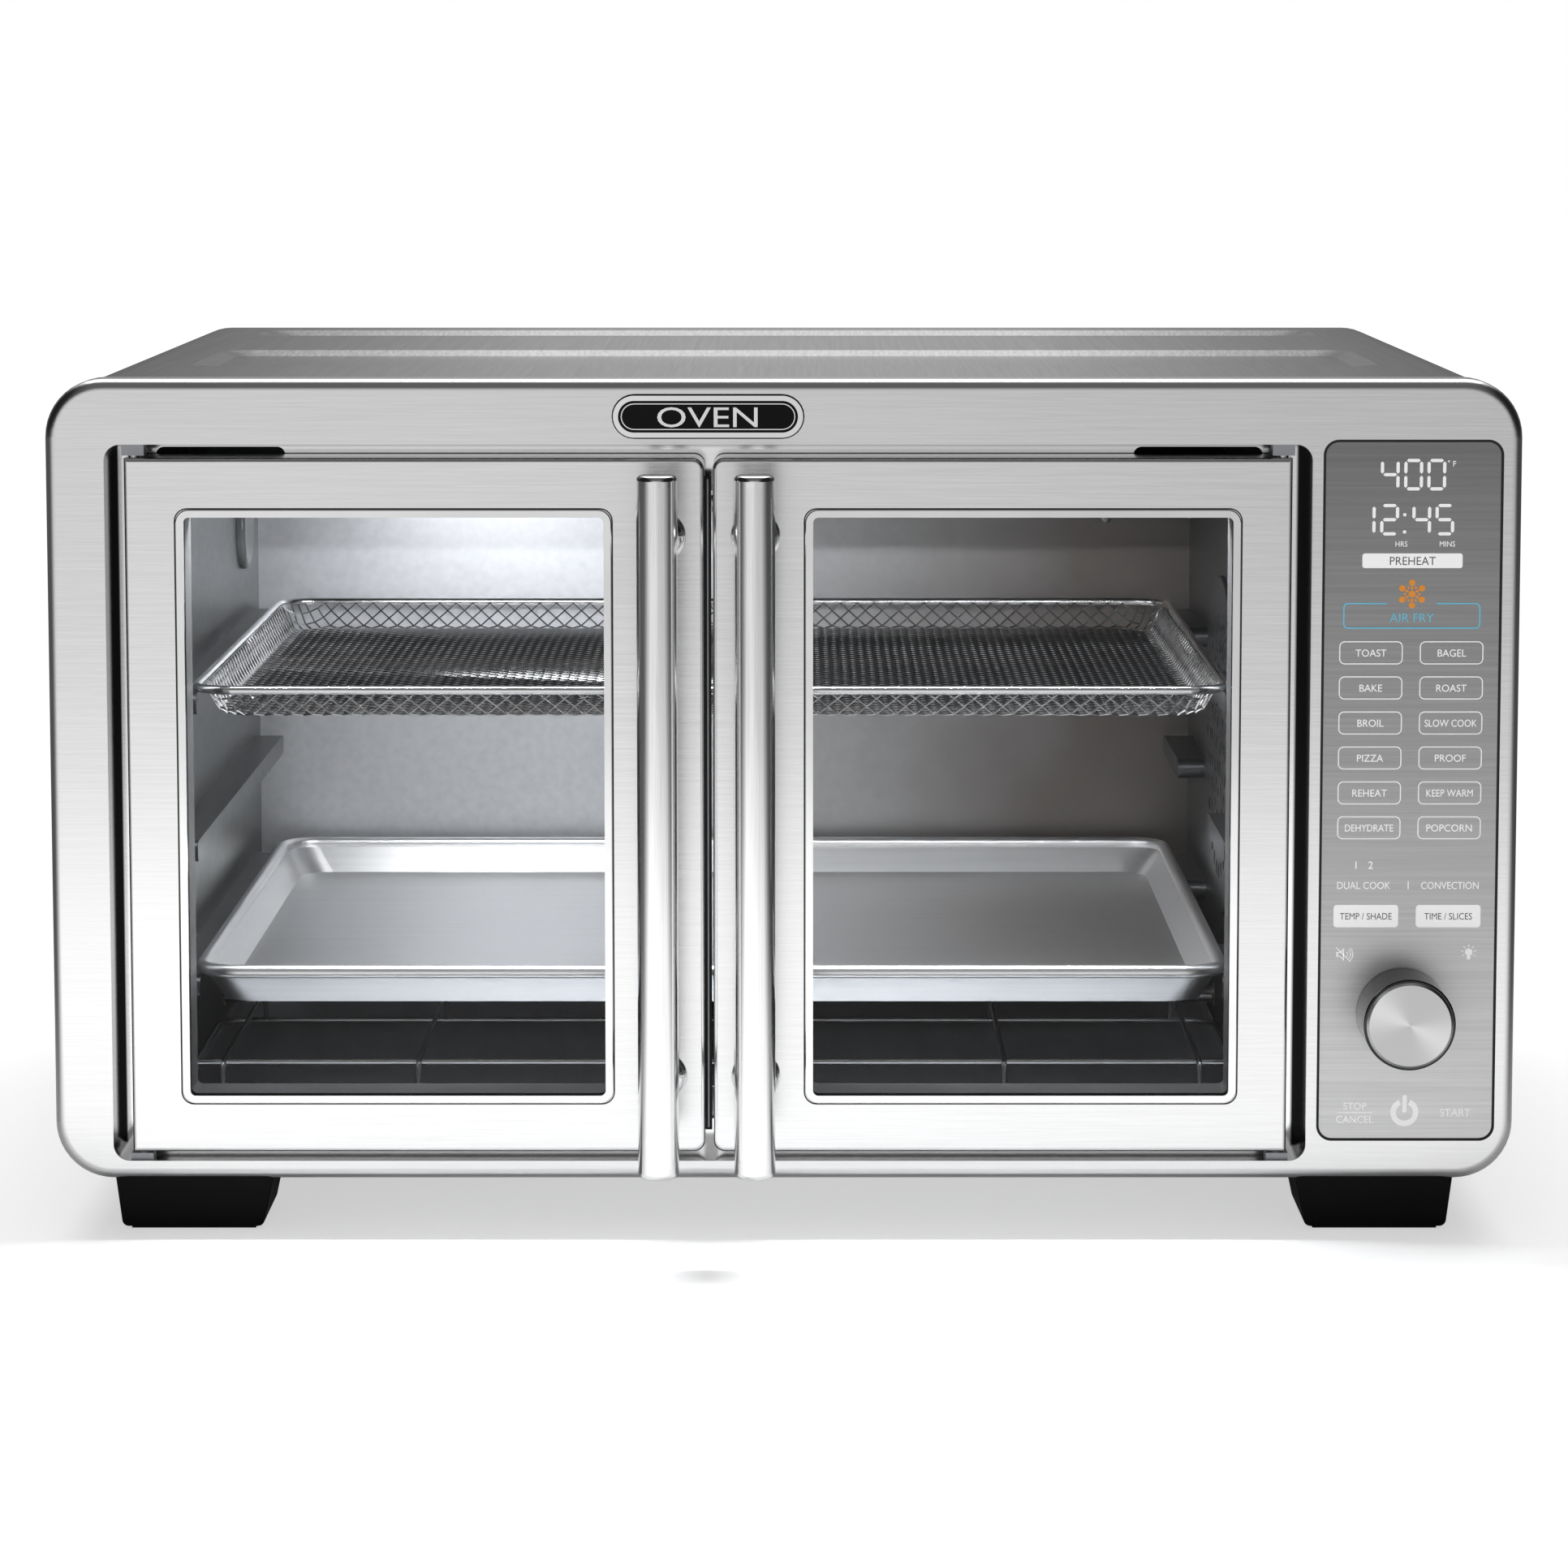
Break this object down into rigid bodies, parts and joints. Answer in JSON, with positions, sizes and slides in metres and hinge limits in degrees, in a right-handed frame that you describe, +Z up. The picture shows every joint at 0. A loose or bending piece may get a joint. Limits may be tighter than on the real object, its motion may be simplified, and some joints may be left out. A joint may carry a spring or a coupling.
{
  "type": "toaster oven",
  "caption": "Counter-top toaster oven with two side-hinged glazed doors, bar handles, a control strip with a knob, rack ledges and loose basket, pan, rack and crumb tray.",
  "frame": {"origin": "centre of the whole object's footprint, on the counter", "axes": "+Z up, -Y towards the user at the doors, +X towards the control strip"},
  "size_m": [0.53, 0.465, 0.312],
  "materials": {
    "fascia_steel": "brushed left to right, satin",
    "wrap_steel": "brushed front to back, satin",
    "plain_steel": "galvanised",
    "frame_steel": "smooth pressed",
    "cavity_steel": "aluminised, dull",
    "panel_steel": "dark brushed",
    "door_steel": "brushed left to right, satin",
    "door_liner": "heat-proof satin paint",
    "chrome": "bright",
    "handle_steel": "bright drawn tube",
    "wire": "bright plated wire",
    "pan_aluminium": "satin, bare",
    "tray_steel": "smooth",
    "door_glass": "clear tempered",
    "lamp_glass": "clear heat-proof",
    "pins": "turned",
    "knob_steel": "turned side",
    "badge_black": "gloss",
    "black_plastic": "fine grain",
    "black_rubber": "matt",
    "heater_sheath": "dull heat-coloured",
    "ceramic": "unglazed",
    "motor_metal": "satin",
    "circuit_board": "solder mask"
  },
  "bodies": {
    "cabinet": {"front_fascia": "fascia_steel", "outer_wrap": "wrap_steel", "base_plate": "plain_steel", "rear_panel": "plain_steel", "case_screws": "chrome", "cord_gland": "black_rubber", "front_frame": "frame_steel", "cavity_left_wall": "cavity_steel", "cavity_right_wall": "cavity_steel", "cavity_ceiling": "cavity_steel", "cavity_floor": "cavity_steel", "cavity_rear_wall": "cavity_steel", "temperature_probe": "plain_steel", "upper_elements": "heater_sheath", "lower_elements": "heater_sheath", "element_insulators": "ceramic", "lamp_housing": "cavity_steel", "lamp_bulb": "lamp_glass", "lamp_lens": "lamp_glass", "fan_cover": "cavity_steel", "fan_motor": "motor_metal", "control_panel": "panel_steel", "panel_carrier": "black_plastic", "encoder_body": "black_plastic", "display_board": "circuit_board", "power_board": "circuit_board", "badge_ring": "chrome", "badge_plate": "badge_black", "hinge_brackets": "plain_steel", "catch_magnets": "black_plastic", "foot_pads": "black_rubber", "front_left_foot": "black_plastic", "rear_left_foot": "black_plastic", "front_right_foot": "black_plastic", "rear_right_foot": "black_plastic"},
    "left_door": {"left_door_skin": "door_steel", "left_window_trim": "chrome", "left_door_glass": "door_glass", "left_inner_frame": "door_liner", "left_hinge_pins": "pins", "left_handle_tube": "handle_steel", "left_handle_caps": "chrome", "left_handle_posts": "chrome"},
    "right_door": {"right_door_skin": "door_steel", "right_window_trim": "chrome", "right_door_glass": "door_glass", "right_inner_frame": "door_liner", "right_hinge_pins": "pins", "right_handle_tube": "handle_steel", "right_handle_caps": "chrome", "right_handle_posts": "chrome"},
    "knob": {"knob_body": "knob_steel", "knob_cap": "chrome", "encoder_shaft": "pins"},
    "fan": {"fan_blade": "cavity_steel"},
    "basket": {"basket_rim": "wire", "basket_mesh": "wire"},
    "pan": {"baking_pan": "pan_aluminium"},
    "rack": {"wire_rack": "wire"},
    "crumb_tray": {"crumb_tray": "tray_steel"}
  },
  "joints": [
    {"name": "left_door_hinge", "type": "hinge", "parent": "cabinet", "child": "left_door", "pos_m": [-0.2336, -0.1695, 0.0307], "axis": [0, 0, -1], "range_deg": [0, 110]},
    {"name": "right_door_hinge", "type": "hinge", "parent": "cabinet", "child": "right_door", "pos_m": [0.1794, -0.1695, 0.0307], "axis": [0, 0, 1], "range_deg": [0, 110]},
    {"name": "knob_turn", "type": "hinge", "parent": "cabinet", "child": "knob", "pos_m": [0.224, -0.1755, 0.082], "axis": [0, -1, 0], "continuous": true},
    {"name": "fan_spin", "type": "hinge", "parent": "cabinet", "child": "fan", "pos_m": [0.1749, 0.0145, 0.154], "axis": [1, 0, 0], "continuous": true},
    {"name": "basket_slide", "type": "slide", "parent": "cabinet", "child": "basket", "axis": [0, -1, 0], "range_m": [0, 0.014]},
    {"name": "pan_slide", "type": "slide", "parent": "cabinet", "child": "pan", "axis": [0, -1, 0], "range_m": [0, 0.014]},
    {"name": "rack_slide", "type": "slide", "parent": "cabinet", "child": "rack", "axis": [0, -1, 0], "range_m": [0, 0.006]},
    {"name": "crumb_tray_slide", "type": "slide", "parent": "cabinet", "child": "crumb_tray", "axis": [0, -1, 0], "range_m": [0, 0.004]}
  ]
}
